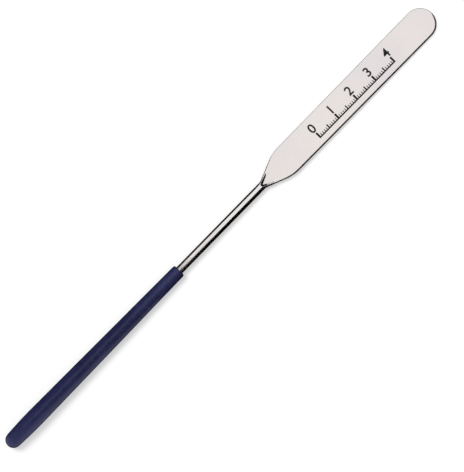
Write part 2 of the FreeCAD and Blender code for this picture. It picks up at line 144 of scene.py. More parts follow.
def new_group(name, inputs, outputs):
    """Start a shader node group from (name, kind, start value) inputs and output names."""
    group = bpy.data.node_groups.new(name, "ShaderNodeTree")
    for label, kind, start in inputs:
        socket = group.interface.new_socket(name=label, in_out="INPUT", socket_type=kind)
        socket.default_value = start
    for label in outputs:
        group.interface.new_socket(
            name=label, in_out="OUTPUT", socket_type="NodeSocketFloat")
    inner = group.nodes.new("NodeGroupInput").outputs
    outer = group.nodes.new("NodeGroupOutput").inputs
    return group, inner, outer


def use_group(tree, group, inputs):
    """Place a shared group in a material with this material's own values."""
    return add_node(tree, "Group", inputs, node_tree=group).outputs


def new_material(name, **constants):
    """Start a material, and return it with its tree, shader and Object coordinates."""
    material = bpy.data.materials.new(name)
    material.use_nodes = True
    tree = material.node_tree
    shader = tree.nodes["Principled BSDF"]
    for socket, value in constants.items():
        shader.inputs[socket.replace("_", " ")].default_value = value
    place = tree.nodes.new("ShaderNodeTexCoord").outputs["Object"]
    return material, tree, shader, place


def span(tree, value, low, high, first, last):
    """Map value from low..high to first..last, held at both ends."""
    node = add_node(tree, "MapRange", {"Value": value, "From Min": low, "From Max": high,
                                       "To Min": first, "To Max": last})
    return node.outputs["Result"]


def blend(tree, share, first, last):
    """Mix two colours by a share from 0 to 1."""
    mix = add_node(tree, "Mix", {0: share, 6: first, 7: last}, data_type="RGBA")
    return mix.outputs[2]


def arithmetic(tree, operation, first, second):
    """One Math node between two values or sockets."""
    return add_node(tree, "Math", {0: first, 1: second}, operation=operation).outputs[0]


def add_share(tree, value, mask, share):
    """Add a share of a mask to a value."""
    return arithmetic(tree, "ADD", value, arithmetic(tree, "MULTIPLY", mask, share))


def vertex_mask(tree, name):
    """The 0 to 1 value that the points of a mesh carry under a name."""
    return add_node(tree, "Attribute", {}, attribute_name=name).outputs["Fac"]


# Grain lines run along the knife: noise that is drawn out lengthwise.
grain, grain_in, grain_out = new_group(
    "Lengthwise grain",
    [("Place", "NodeSocketVector", (0, 0, 0)), ("Lines per metre", "NodeSocketFloat", 5000.0),
     ("Shortness", "NodeSocketFloat", 0.01)], ["Shade"])
along = arithmetic(grain, "MULTIPLY", grain_in["Lines per metre"], grain_in["Shortness"])
stretch = add_node(grain, "CombineXYZ", {"X": along, "Y": grain_in["Lines per metre"],
                                         "Z": grain_in["Lines per metre"]})
drawn_out = add_node(grain, "VectorMath",
                     {0: grain_in["Place"], 1: stretch.outputs[0]}, operation="MULTIPLY")
grain_noise = add_node(grain, "TexNoise", {"Vector": drawn_out.outputs[0], "Scale": 1.0,
                                           "Detail": 4.0, "Roughness": 0.62})
grain.links.new(grain_noise.outputs["Fac"], grain_out["Shade"])

# Clouds are slow, soft changes of tone over a surface.
clouds, clouds_in, clouds_out = new_group(
    "Soft clouds",
    [("Place", "NodeSocketVector", (0, 0, 0)), ("Patches per metre", "NodeSocketFloat", 60.0),
     ("Contrast", "NodeSocketFloat", 0.18)], ["Shade"])
cloud_noise = add_node(clouds, "TexNoise",
                       {"Vector": clouds_in["Place"], "Scale": clouds_in["Patches per metre"],
                        "Detail": 3.0, "Roughness": 0.5})
cloud_low = arithmetic(clouds, "SUBTRACT", 0.5, clouds_in["Contrast"])
cloud_high = arithmetic(clouds, "ADD", 0.5, clouds_in["Contrast"])
clouds.links.new(span(clouds, cloud_noise.outputs["Fac"], cloud_low, cloud_high, 0.0, 1.0),
                 clouds_out["Shade"])

# Hairlines are the few fine scratches that handling leaves, at a slant to the grain.
hairlines, hairlines_in, hairlines_out = new_group(
    "Handling hairlines",
    [("Place", "NodeSocketVector", (0, 0, 0)), ("Slant", "NodeSocketFloat", 0.5),
     ("Coverage", "NodeSocketFloat", 0.34)], ["Mask"])
slanted = add_node(hairlines, "VectorRotate",
                   {"Vector": hairlines_in["Place"], "Axis": (0, 0, 1),
                    "Angle": hairlines_in["Slant"]}, rotation_type="AXIS_ANGLE")
hair_place = add_node(hairlines, "VectorMath",
                      {0: slanted.outputs[0], 1: hair_stretch}, operation="MULTIPLY")
hair_noise = add_node(hairlines, "TexNoise", {"Vector": hair_place.outputs[0], "Scale": 1.0,
                                              "Detail": 1.0, "Roughness": 0.4})
hair_edge = arithmetic(hairlines, "SUBTRACT", 1.0, hairlines_in["Coverage"])
hair_full = arithmetic(hairlines, "ADD", hair_edge, hair_softness)
hairlines.links.new(span(hairlines, hair_noise.outputs["Fac"], hair_edge, hair_full, 0.0, 1.0),
                    hairlines_out["Mask"])

# Satin spring steel: cool and warm tones drift along it, grain and hairlines change its
# gloss, and the rounded edge is brighter and smoother than the faces.
blade_steel, tree, shader, place = new_material("Satin spring steel", Metallic=1.0)
blade_grain = use_group(tree, grain, {"Place": place, "Lines per metre": 5200.0,
                                      "Shortness": 0.012})["Shade"]
blade_tone = use_group(tree, clouds, {"Place": place, "Patches per metre": 28.0,
                                      "Contrast": 0.16})["Shade"]
blade_marks = use_group(tree, hairlines, {"Place": place, "Slant": 0.42,
                                          "Coverage": 0.31})["Mask"]
edge_polish = vertex_mask(tree, "edge_polish")
blade_color = blend(tree, blade_tone, steel_cool, steel_warm)
blade_color = blend(tree, span(tree, blade_grain, 0.35, 0.75, 0.0, 0.12),
                    blade_color, steel_bright)
tree.links.new(blend(tree, edge_polish, blade_color, steel_bright),
               shader.inputs["Base Color"])
blade_gloss = span(tree, blade_grain, 0.3, 0.7, *face_roughness)
blade_gloss = add_share(tree, blade_gloss, blade_marks, -mark_polish)
blade_gloss = add_share(tree, blade_gloss, edge_polish, -edge_smoothing)
tree.links.new(blade_gloss, shader.inputs["Roughness"])
relief = add_share(tree, blade_grain, blade_marks, -0.8)
blade_bump = add_node(tree, "Bump", {"Height": relief, "Strength": 0.10, "Distance": 0.00002})
tree.links.new(blade_bump.outputs["Normal"], shader.inputs["Normal"])

blade_shape = bmesh.new()
shoulder_x = neck_x + (heel_half - tongue_half) / math.tan(shoulder_angle)
side_angle = math.atan2(tip_half - heel_half, tip_centre - shoulder_x)
blend_reach = shoulder_blend * math.tan((shoulder_angle - side_angle) / 2)
first = blade_shape.verts.new((tongue_back, -tongue_half, 0))
neck_point = draw_to(blade_shape, first, (neck_x, -tongue_half, 0))
near_shoulder = draw_to(blade_shape, neck_point, (shoulder_x, -heel_half, 0))
tip_start = draw_to(blade_shape, near_shoulder, (tip_centre, -tip_half, 0))
tip_end = turn_point(blade_shape, tip_start, (tip_centre, 0, 0), math.pi, tip_steps)
far_shoulder = draw_to(blade_shape, tip_end, (shoulder_x, heel_half, 0))
far_neck = draw_to(blade_shape, far_shoulder, (neck_x, tongue_half, 0))
last = draw_to(blade_shape, far_neck, (tongue_back, tongue_half, 0))
blade_shape.edges.new((last, first))
bmesh.ops.contextual_create(blade_shape, geom=blade_shape.edges[:])
bmesh.ops.bevel(blade_shape, geom=[near_shoulder, far_shoulder], offset=blend_reach,
                segments=blend_steps, profile=0.5, affect="VERTICES", material=-1)
bmesh.ops.translate(blade_shape, verts=blade_shape.verts[:], vec=(0, 0, -blade_thickness / 2))
lifted = bmesh.ops.extrude_face_region(blade_shape, geom=blade_shape.faces[:])
bmesh.ops.translate(blade_shape, vec=(0, 0, blade_thickness), verts=points_in(lifted["geom"]))
bmesh.ops.recalc_face_normals(blade_shape, faces=blade_shape.faces[:])
rims = [edge for edge in blade_shape.edges
        if abs(edge.verts[0].co.z - edge.verts[1].co.z) < blade_thickness / 2]
bmesh.ops.bevel(blade_shape, geom=rims, offset=edge_rounding, segments=rounding_steps,
                profile=0.5, affect="EDGES", material=-1)
broad_faces = [face for face in blade_shape.faces if face.calc_area() > heel_half ** 2]
bmesh.ops.inset_individual(blade_shape, faces=broad_faces, thickness=face_margin)
cut_x = math.ceil(shoulder_x) + cut_spacing
while cut_x < tip_centre:
    bmesh.ops.bisect_plane(blade_shape, geom=whole(blade_shape),
                           plane_co=(cut_x, 0, 0), plane_no=(1, 0, 0))
    cut_x += cut_spacing
for point in blade_shape.verts:
    if shoulder_x < point.co.x < tip_centre:
        swell = math.sin((point.co.x - shoulder_x) / (tip_centre - shoulder_x) * math.pi)
        ripple = noise.noise(Vector((point.co.x / face_wave_length, 0, 0)))
        point.co.z += face_wave * swell * ripple
blade_shape.normal_update()
polish = blade_shape.verts.layers.float.new("edge_polish")
for point in blade_shape.verts:
    point[polish] = min(1.0, polish_spread * (1.0 - abs(point.normal.z)))
blade = make_piece("Blade.spring_steel", blade_shape, blade_steel)
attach(blade, "root")
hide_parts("blade")

# Rod: drawn steel wire. Its front end is pressed into a flat oval, split level for the
# blade's tongue, and notched above and below with walls that lean back, which leaves two
# prongs on each face of the blade. Draw lines and a little heat stain stay on the wire.
rod_radius = 1.5875
rod_back = 4.5
rod_chamfer = 0.3
prong_front = 141.2
prong_half = 3.024
prong_end_half_height = 1.0
prong_end_rounding = 0.08
slot_back = 133.8
slot_half = 0.5
slot_press = 0.45
notch_centre = 137.8
notch_nose = 0.4
notch_angle = math.radians(24.0)
notch_slope = math.radians(35.0)
notch_floor = 0.45
soft_lip = 0.07
tin_start = 136.8
tin_fade = 1.2
# Burnt flux and painted shade: black laid on the notch walls and the slot's lips, standing in
# for the shade in these crevices.
flux_and_shade_end = 139.0
flux_and_shade_fade = 0.6
flux_and_shade_depth = 0.04
slot_flux_and_shade = 0.5
slot_lip = 0.06
spread_lead = 0.5
top_share = math.radians(30)
fork_start = 133.2
ring_steps = 192
fine_step = 0.05
weld_distance = 1e-4
wire_roughness = (0.09, 0.20)
wire_bright = (0.83, 0.815, 0.80, 1)
wire_dark = (0.30, 0.235, 0.21, 1)
# Black of burnt flux and painted crevice shade.
flux_and_shade_black = (0.012, 0.011, 0.012, 1)
stain_near = rest_shift / 1000 + 0.093
stain_far = rest_shift / 1000 + 0.118


def oval_point(angle):
    """Point of the flat oval that a point of the wire's circle runs out to."""
    centre = prong_half - prong_end_half_height
    side_end = math.pi / 2 - top_share
    folded = math.asin(abs(math.sin(angle)))
    upright = abs(math.cos(angle)) < weld_distance
    across = 0.0 if upright else math.copysign(1.0, math.cos(angle))
    upward = math.copysign(1.0, math.sin(angle))
    if folded <= side_end:
        turned = folded / side_end * math.pi / 2
        return (across * (centre + prong_end_half_height * math.cos(turned)),
                upward * prong_end_half_height * math.sin(turned))
    inward = (math.pi / 2 - folded) / top_share
    return (across * centre * inward, upward * prong_end_half_height)


def outside_notch(x, y):
    """How far a place on the blade's face lies outside the notch's outline."""
    forward = x - notch_centre
    aside = abs(y)
    if forward * math.cos(notch_angle) + aside * math.sin(notch_angle) < 0:
        return math.hypot(forward, aside) - notch_nose
    return aside * math.cos(notch_angle) - forward * math.sin(notch_angle) - notch_nose


def soft_lower(first, second, softness):
    """The lower of two heights, with a rounded crossing between them."""
    share = max(0.0, min(1.0, 0.5 + (second - first) / (2 * softness)))
    return second + (first - second) * share - softness * share * (1 - share)


def ease(value):
    """Smooth step from 0 to 1."""
    held = max(0.0, min(1.0, value))
    return held * held * (3 - 2 * held)


def flux_left(x, y):
    """Burnt flux and painted shade stay round the nose of the notch and along its +Y side."""
    return max(ease((flux_and_shade_end - x) / flux_and_shade_fade), ease(y / notch_nose + 1))


def turn_profile(shape, steps):
    """Spin a profile once about the knife's own line and weld its seams."""
    bmesh.ops.spin(shape, geom=shape.verts[:] + shape.edges[:], cent=(0, 0, 0),
                   axis=(1, 0, 0), angle=2 * math.pi, steps=steps, use_merge=True)
    bmesh.ops.remove_doubles(shape, verts=shape.verts[:], dist=weld_distance)


rod_shape = bmesh.new()
point = rod_shape.verts.new((rod_back, 0, 0))
point = draw_to(rod_shape, point, (rod_back, rod_radius - rod_chamfer, 0))
point = draw_to(rod_shape, point, (rod_back + rod_chamfer, rod_radius, 0))
point = draw_to(rod_shape, point, (fork_start, rod_radius, 0))
fine_rings = round((prong_front - fork_start) / fine_step)
for ring in range(1, fine_rings + 1):
    point = draw_to(rod_shape, point, (fork_start + ring * fine_step, rod_radius, 0))
point = draw_to(rod_shape, point, (prong_front, 0, 0))
turn_profile(rod_shape, ring_steps)
# The notch walls darken the deeper they are cut, and the slot's lips darken: burnt flux and
# painted shade in the crevices.
flux_and_shade = rod_shape.verts.layers.float.new("flux_and_shade")
tinned = rod_shape.verts.layers.float.new("tinned")
for point in rod_shape.verts:
    x, y, z = point.co
    if x <= fork_start or math.hypot(y, z) < rod_radius / 2:
        continue
    point[tinned] = ease((x - tin_start) / tin_fade)
    eased = ease((x - neck_x + spread_lead) / (prong_front - neck_x + spread_lead))
    share = 0.5 * eased + 0.5 * max(0.0, (x - neck_x) / (prong_front - neck_x))
    flat_y, flat_z = oval_point(math.atan2(z, y))
    y += (flat_y - y) * share
    z += (flat_z - z) * share
    drop = ease((x - prong_front + prong_end_rounding) / prong_end_rounding)
    z -= math.copysign(prong_end_rounding, z) * drop * (1 if abs(z) > slot_half else 0)
    away = outside_notch(x, y)
    wall = slot_half + away / math.tan(notch_slope)
    height = max(notch_floor, soft_lower(abs(z), wall, soft_lip))
    if abs(z) > slot_half:
        if height < abs(z):
            point[flux_and_shade] = ease((abs(z) - height) / flux_and_shade_depth) * flux_left(x, y)
        z = math.copysign(height, z)
    elif x > slot_back:
        into = ease((slot_half - abs(z)) / slot_lip)
        y -= math.copysign(slot_press * into, y)
        point[flux_and_shade] = slot_flux_and_shade * into
    point.co = (x, y, z)
bmesh.ops.recalc_face_normals(rod_shape, faces=rod_shape.faces[:])

rod_steel, tree, shader, place = new_material("Drawn wire steel", Metallic=1.0)
draw_lines = use_group(tree, grain, {"Place": place, "Lines per metre": 3600.0,
                                     "Shortness": 0.006})["Shade"]
fine_lines = use_group(tree, grain, {"Place": place, "Lines per metre": 9000.0,
                                     "Shortness": 0.02})["Shade"]
wire_marks = use_group(tree, hairlines, {"Place": place, "Slant": -0.9,
                                         "Coverage": 0.30})["Mask"]
along_rod = add_node(tree, "SeparateXYZ", {"Vector": place}).outputs["X"]
stain = span(tree, along_rod, stain_near, stain_far, 1.0, 0.0)
stain_lines = span(tree, draw_lines, 0.40, 0.62, 0.0, 1.0)
stained = arithmetic(tree, "MULTIPLY", stain, stain_lines)
wire_color = blend(tree, span(tree, fine_lines, 0.3, 0.7, 0.0, 0.35), wire_bright, steel_cool)
wire_color = blend(tree, arithmetic(tree, "MULTIPLY", stained, 0.8), wire_color, wire_dark)
# Burnt flux and painted shade turn the notch walls and the slot's lips black.
flux_and_shade_mask = vertex_mask(tree, "flux_and_shade")
tin_mask = vertex_mask(tree, "tinned")
wire_color = blend(tree, tin_mask, wire_color, steel_bright)
tree.links.new(blend(tree, flux_and_shade_mask, wire_color, flux_and_shade_black), shader.inputs["Base Color"])
wire_gloss = span(tree, fine_lines, 0.3, 0.7, *wire_roughness)
for mask, dulling in ((stain, 0.12), (stained, 0.12), (wire_marks, 0.06), (tin_mask, 0.26),
                      (flux_and_shade_mask, 0.35)):
    wire_gloss = add_share(tree, wire_gloss, mask, dulling)
tree.links.new(wire_gloss, shader.inputs["Roughness"])
wire_relief = add_share(tree, draw_lines, fine_lines, 0.4)
wire_bump = add_node(tree, "Bump", {"Height": wire_relief, "Strength": 0.25,
                                    "Distance": 0.00003})
tree.links.new(wire_bump.outputs["Normal"], shader.inputs["Normal"])

rod = make_piece("Rod.drawn_wire", rod_shape, rod_steel)
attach(rod, "root")
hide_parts("shank_rod")

# Solder: tin that filled the slot behind the tongue, flush with the wire, and drew into
# a thin fillet along the foot of each notch and across the ends of the prongs.
bead_radius = 0.07
# The bead swells where it carries burnt flux and painted shade.
flux_and_shade_radius = 0.20
bead_sides = 12
nose_steps = 14
bead_step = 0.12
bead_unevenness = 0.22
bead_waves = 2.3
bead_end = 2.6
bead_flux_and_shade_gap = 0.2
bead_flux_and_shade_fade = 0.3
tin_roughness = (0.38, 0.20)
tin_light = (0.80, 0.79, 0.775, 1)
tin_dull = (0.52, 0.50, 0.48, 1)

solder_shape = bmesh.new()
bmesh.ops.create_cone(
    solder_shape, cap_ends=True, segments=ring_steps, radius1=rod_radius, radius2=rod_radius,
    depth=tongue_back - slot_back, matrix=Matrix.Translation(
        ((tongue_back + slot_back) / 2, 0, 0)) @ Matrix.Rotation(math.pi / 2, 4, "Y"))
for direction in (1, -1):
    cut = bmesh.ops.bisect_plane(solder_shape, geom=whole(solder_shape), clear_outer=True,
                                 plane_co=(0, 0, direction * slot_half),
                                 plane_no=(0, 0, direction))
    rim = [item for item in cut["geom_cut"] if isinstance(item, bmesh.types.BMEdge)]
    bmesh.ops.edgeloop_fill(solder_shape, edges=rim)

face_z = blade_thickness / 2
nose_turn = math.pi - 2 * notch_angle
corner_y = (notch_nose + (prong_front - notch_centre) * math.sin(notch_angle)
            ) / math.cos(notch_angle)
nose_middle = Vector((notch_centre, 0, face_z))
foot = nose_middle + Vector((-math.sin(notch_angle), math.cos(notch_angle), 0)) * notch_nose


def add_stretch(path, end):
    """Lead a path straight on to a new end, in short steps."""
    start = path[-1].copy()
    count = round((end - start).length / bead_step)
    path.extend(start.lerp(end, step / count) for step in range(1, count + 1))


bead_path = [Vector((prong_front, bead_end, face_z))]
add_stretch(bead_path, Vector((prong_front, corner_y, face_z)))
add_stretch(bead_path, foot)
for step in range(1, nose_steps + 1):
    nose_swing = Matrix.Rotation(nose_turn * step / nose_steps, 3, "Z")
    bead_path.append(nose_middle + nose_swing @ (foot - nose_middle))
add_stretch(bead_path, Vector((prong_front, -corner_y, face_z)))
add_stretch(bead_path, Vector((prong_front, -bead_end, face_z)))


def flux_gathered(place):
    """Share of burnt flux and painted shade on the bead, which ends short of the prongs' ends.
    """
    stop = ease((prong_front - bead_flux_and_shade_gap - place.x) / bead_flux_and_shade_fade)
    return stop * flux_left(place.x, place.y)


bead_shape = bmesh.new()
first_ring = bmesh.ops.create_circle(
    bead_shape, segments=bead_sides, radius=bead_radius, cap_ends=True,
    matrix=Matrix.Translation(bead_path[0]) @ Matrix.Rotation(math.pi / 2, 4, "X"))
ring_points = first_ring["verts"]
heading = -math.pi / 2
for before, place, after in zip(bead_path, bead_path[1:], bead_path[2:] + bead_path[-1:]):
    ring_edges = {edge for point in ring_points for edge in point.link_edges
                  if edge.other_vert(point) in ring_points}
    drawn = bmesh.ops.extrude_edge_only(bead_shape, edges=list(ring_edges))
    ring_points = points_in(drawn["geom"])
    way = after - before
    swing = math.atan2(way.y, way.x) - heading
    bmesh.ops.transform(bead_shape, verts=ring_points, matrix=Matrix.Translation(place)
                        @ Matrix.Rotation(swing, 4, "Z") @ Matrix.Translation(-before))
    heading += swing
    thickness = bead_radius + (flux_and_shade_radius - bead_radius) * flux_gathered(place)
    thickness *= 1 + bead_unevenness * noise.noise(place * bead_waves)
    for point in ring_points:
        point.co = place + (point.co - place).normalized() * thickness
bmesh.ops.contextual_create(bead_shape, geom=ring_points)
# The bead carries burnt flux and painted shade round the notch's nose and along its +Y side.
bead_flux_and_shade = bead_shape.verts.layers.float.new("flux_and_shade")
for point in bead_shape.verts:
    point[bead_flux_and_shade] = flux_gathered(point.co)
bmesh.ops.mirror(bead_shape, geom=whole(bead_shape), axis="Z", merge_dist=-1)
bead_mesh = bpy.data.meshes.new("Bead")
bead_shape.to_mesh(bead_mesh)
bead_shape.free()
solder_shape.from_mesh(bead_mesh)
bpy.data.meshes.remove(bead_mesh)
bmesh.ops.recalc_face_normals(solder_shape, faces=solder_shape.faces[:])

solder_tin, tree, shader, place = new_material("Solder tin", Metallic=1.0)
tin_grey = use_group(tree, clouds, {"Place": place, "Patches per metre": 2600.0,
                                    "Contrast": 0.2})["Shade"]
tin_color = blend(tree, tin_grey, tin_dull, tin_light)
# Burnt flux and painted shade turn the bead black there.
bead_color = blend(tree, vertex_mask(tree, "flux_and_shade"), tin_color, flux_and_shade_black)
tree.links.new(bead_color, shader.inputs["Base Color"])
tree.links.new(span(tree, tin_grey, 0.0, 1.0, *tin_roughness), shader.inputs["Roughness"])
tin_bump = add_node(tree, "Bump", {"Height": tin_grey, "Strength": 0.4, "Distance": 0.00003})
tree.links.new(tin_bump.outputs["Normal"], shader.inputs["Normal"])

solder = make_piece("Solder.plug_and_fillets", solder_shape, solder_tin)
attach(solder, "root")
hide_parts("solder_fill")

# Grip: the rod's back end dipped in navy vinyl. It is fattest near the butt, ends there in
# a full dome, and runs down to a flat front face with a small rounded rim, a little
# sunken round the rod where the vinyl was trimmed. Dipping leaves it slightly uneven.
grip_length = 92.4
grip_radius = 3.475
fattest_x = 15.0
belly_radius = 200.0
dome_steps = 18
belly_steps = 16
taper_step = 1.0
rim_steps = 8
face_sink = 0.12
lip_width = 0.1
lip_depth = 0.18
grip_sides = 128
dip_unevenness = 0.035
dip_mean, dip_slow, dip_quick = 0.2, 0.4, 0.2
slow_waves = (9.0, 5.0)
quick_waves = (1.6, 1.2)
dip_fade = 4.0
bore_wall = 0.3
vinyl_roughness = (0.34, 0.46)
vinyl_navy = (0.0130, 0.0150, 0.0680, 1)
vinyl_deep = (0.0085, 0.0095, 0.0440, 1)
vinyl_bloom = (0.0330, 0.0350, 0.1050, 1)

belly_drop = belly_radius - grip_radius
dome_radius = ((belly_radius ** 2 - belly_drop ** 2 - fattest_x ** 2)
               / (2 * (belly_radius - fattest_x)))
rim_reach = math.hypot(rim_x - fattest_x, belly_drop + rim_drop)
taper = (math.atan2(rim_x - fattest_x, belly_drop + rim_drop)
         - math.acos((belly_radius - rim_rounding) / rim_reach))
dome_lean = math.atan2(fattest_x - dome_radius, belly_drop)

grip_shape = bmesh.new()
point = grip_shape.verts.new((0, 0, 0))
point = turn_point(grip_shape, point, (dome_radius, 0, 0),
                   -(math.pi / 2 - dome_lean), dome_steps)
point = turn_point(grip_shape, point, (fattest_x, -belly_drop, 0),
                   -(dome_lean + taper), belly_steps)
taper_start = point.co.copy()
taper_end = Vector((rim_x + rim_rounding * math.sin(taper),
                    rim_drop + rim_rounding * math.cos(taper), 0))
taper_count = round((taper_end - taper_start).length / taper_step)
for step in range(1, taper_count + 1):
    point = draw_to(grip_shape, point, taper_start.lerp(taper_end, step / taper_count))
point = turn_point(grip_shape, point, (rim_x, rim_drop, 0), -(math.pi / 2 - taper), rim_steps)
point = draw_to(grip_shape, point, (grip_length - face_sink, rod_radius + lip_width, 0))
point = draw_to(grip_shape, point, (grip_length - face_sink - lip_depth, rod_radius, 0))
point = draw_to(grip_shape, point, (rod_back, rod_radius, 0))
point = draw_to(grip_shape, point, (rod_back, 0, 0))
turn_profile(grip_shape, grip_sides)
bmesh.ops.recalc_face_normals(grip_shape, faces=grip_shape.faces[:])
for point in grip_shape.verts:
    x, y, z = point.co
    reach = math.hypot(y, z)
    if reach > rod_radius + bore_wall:
        slow, quick = (noise.noise(Vector((x / length, y / width, z / width)))
                       for length, width in (slow_waves, quick_waves))
        inward = dip_unevenness * (dip_mean + dip_slow * slow + dip_quick * quick)
        shrink = 1 - max(0.0, inward) / reach * ease((rim_x - x) / dip_fade)
        point.co = (x, y * shrink, z * shrink)

grip_vinyl, tree, shader, place = new_material(
    "Dipped navy vinyl", Metallic=0.0, Specular_IOR_Level=0.55, IOR=1.5,
    Specular_Tint=(0.64, 0.69, 1.0, 1))
vinyl_mottle = use_group(tree, clouds, {"Place": place, "Patches per metre": 900.0,
                                        "Contrast": 0.2})["Shade"]
vinyl_drift = use_group(tree, clouds, {"Place": place, "Patches per metre": 90.0,
                                       "Contrast": 0.16})["Shade"]
vinyl_pull = use_group(tree, grain, {"Place": place, "Lines per metre": 1100.0,
                                     "Shortness": 0.05})["Shade"]
vinyl_color = blend(tree, vinyl_drift, vinyl_deep, vinyl_navy)
vinyl_color = blend(tree, arithmetic(tree, "MULTIPLY", vinyl_mottle, 0.30),
                    vinyl_color, vinyl_bloom)
tree.links.new(vinyl_color, shader.inputs["Base Color"])
vinyl_gloss = arithmetic(tree, "ADD", span(tree, vinyl_mottle, 0.0, 1.0, *vinyl_roughness),
                         span(tree, vinyl_pull, 0.3, 0.7, -0.04, 0.04))
tree.links.new(vinyl_gloss, shader.inputs["Roughness"])
vinyl_relief = add_share(tree, vinyl_mottle, vinyl_pull, 0.7)
vinyl_bump = add_node(tree, "Bump", {"Height": vinyl_relief, "Strength": 0.22,
                                     "Distance": 0.00008})
tree.links.new(vinyl_bump.outputs["Normal"], shader.inputs["Normal"])

grip = make_piece("Grip.dipped_vinyl", grip_shape, grip_vinyl)
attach(grip, "root")
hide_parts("grip")

# Printed scale: black ink on the blade's upper face, a plain centimetre scale with
# numbered long marks. It is screen printed, so it stands a hair above the steel.
scale_start = 165.5
scale_centimetres = 4
scale_base_y = -3.35
ink_height = 0.015
mark_height = 0.012
ink_sunk = 0.01
corner_share = 0.22
corner_steps = 3
base_line = 0.55
short_mark = (0.32, 1.45)
middle_mark = (0.54, 2.05)
long_mark = (0.80, 2.65)
digit_size = 5.2
digit_gap = 0.55
digit_weight = 0.09
ink_black = (0.005, 0.005, 0.0055, 1)
ink_worn = (0.018, 0.0175, 0.018, 1)
ink_roughness = (0.42, 0.60)

scale_shape = bmesh.new()


def print_bar(shape, x, y, width, length, height):
    """Print one bar of ink with slightly rounded corners, centred on x and standing on y."""
    low_z = blade_thickness / 2 - ink_sunk
    high_z = blade_thickness / 2 + height
    made = bmesh.ops.create_cube(
        shape, size=1.0,
        matrix=Matrix.Translation((x, y + length / 2, (low_z + high_z) / 2))
        @ Matrix.Diagonal((width, length, high_z - low_z, 1)))
    upright = {edge for point in made["verts"] for edge in point.link_edges
               if abs(edge.verts[0].co.z - edge.verts[1].co.z) > ink_sunk}
    bmesh.ops.bevel(shape, geom=list(upright), offset=min(width, length) * corner_share,
                    segments=corner_steps, profile=0.5, affect="EDGES", material=-1)


scale_length = scale_centimetres * 10
print_bar(scale_shape, scale_start + scale_length / 2, scale_base_y,
          scale_length + long_mark[0], base_line, ink_height)
for millimetre in range(scale_length + 1):
    width, length = short_mark
    if millimetre % 5 == 0:
        width, length = middle_mark
    if millimetre % 10 == 0:
        width, length = long_mark
    print_bar(scale_shape, scale_start + millimetre, scale_base_y, width, length, mark_height)
for centimetre in range(scale_centimetres + 1):
    lettering = bpy.data.curves.new("Digit", "FONT")
    lettering.body = str(centimetre)
    lettering.size = digit_size
    lettering.align_x = "CENTER"
    lettering.offset = digit_weight
    lettering.extrude = (ink_height + ink_sunk) / 2
    digit = bpy.data.objects.new("Digit", lettering)
    bpy.context.scene.collection.objects.link(digit)
    bpy.context.view_layer.update()
    digit_mesh = bpy.data.meshes.new_from_object(
        digit.evaluated_get(bpy.context.evaluated_depsgraph_get()))
    digit_mesh.transform(Matrix.Translation(
        (scale_start + centimetre * 10, scale_base_y + long_mark[1] + digit_gap,
         blade_thickness / 2 + (ink_height - ink_sunk) / 2)))
    scale_shape.from_mesh(digit_mesh)
    bpy.data.objects.remove(digit)
    bpy.data.curves.remove(lettering)
    bpy.data.meshes.remove(digit_mesh)
bmesh.ops.recalc_face_normals(scale_shape, faces=scale_shape.faces[:])

scale_ink, tree, shader, place = new_material("Printed black ink", Metallic=0.0,
                                              Specular_IOR_Level=0.15)
ink_wear = use_group(tree, clouds, {"Place": place, "Patches per metre": 3500.0,
                                    "Contrast": 0.12})["Shade"]
ink_color = blend(tree, arithmetic(tree, "MULTIPLY", ink_wear, 0.6), ink_black, ink_worn)
tree.links.new(ink_color, shader.inputs["Base Color"])
tree.links.new(span(tree, ink_wear, 0.0, 1.0, *ink_roughness), shader.inputs["Roughness"])
ink_bump = add_node(tree, "Bump", {"Height": ink_wear, "Strength": 0.2, "Distance": 0.00001})
tree.links.new(ink_bump.outputs["Normal"], shader.inputs["Normal"])

scale_print = make_piece("Scale.printed_ink", scale_shape, scale_ink)
scale_print.data.shade_flat()
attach(scale_print, "root")

# Floor: a plain white sheet. Camera, mirror and glass rays see it a little brighter, so
# that it runs out to white and still keeps the knife's shadow.
floor_white = (0.62, 0.62, 0.62, 1)
floor_lift = 0.44
floor_size = 4.0


def seen_rays(tree):
    """1 for rays that come from the camera, a mirror or glass, and 0 for scattered light."""
    path = tree.nodes.new("ShaderNodeLightPath").outputs
    mirrored = arithmetic(tree, "ADD", path["Is Glossy Ray"], path["Is Transmission Ray"])
    total = add_node(tree, "Math", {0: path["Is Camera Ray"], 1: mirrored},
                     operation="ADD", use_clamp=True)
    return total.outputs[0]


floor_paper, tree, shader, place = new_material(
    "White floor", Roughness=0.9, Specular_IOR_Level=0.0, Base_Color=floor_white,
    Emission_Strength=floor_lift)
tree.links.new(seen_rays(tree), shader.inputs["Emission Color"])
floor_shape = bmesh.new()
bmesh.ops.create_grid(floor_shape, x_segments=1, y_segments=1, size=floor_size / 2)
floor = add_object("Floor", floor_shape, floor_paper)

# Flags: black cards that only mirror reflections see. One stands beside the rod, others
# lie on the floor in front of the knife and behind it, there with a low lip. A brim leans
# over the near edge and the tip of the blade, and a hood arches over the grip.
near_flag_start = (-0.055, -0.050, 0.083)
near_flag_end = (0.028, -0.012, 0.023)
flag_lift = 0.0002
flag_start = -0.034
flag_side = 0.200
neck_flag_end = 0.024
edge_flag_width = 0.050
tip_flag_end = 0.138
grip_foot_flag = 0.008
strip_start = -0.122
strip_width = 0.036
lip_start = (strip_start, strip_width, 0.024)
lip_end = (neck_flag_end, strip_width, 0.024)
brim_foot_gap = 1.0
brim_top_gap = -0.4
brim_height = 1.4
brim_start_share = 0.4
brim_foot_turn = math.radians(102)
brim_top_turn = math.radians(62)
brim_steps = 24
hood_start = -0.122
hood_end = -0.034
hood_radius = 0.060
hood_steps = 24
butt_opening = math.radians(58)
front_opening = math.radians(14)

flag_card = new_material("Black flag", Roughness=1.0, Specular_IOR_Level=0.0,
                         Base_Color=(0.002, 0.002, 0.002, 1))[0]
flag_shape = bmesh.new()


def lay_card(shape, corners):
    """Lay one flat card from its corners."""
    bmesh.ops.contextual_create(shape, geom=[shape.verts.new(corner) for corner in corners])


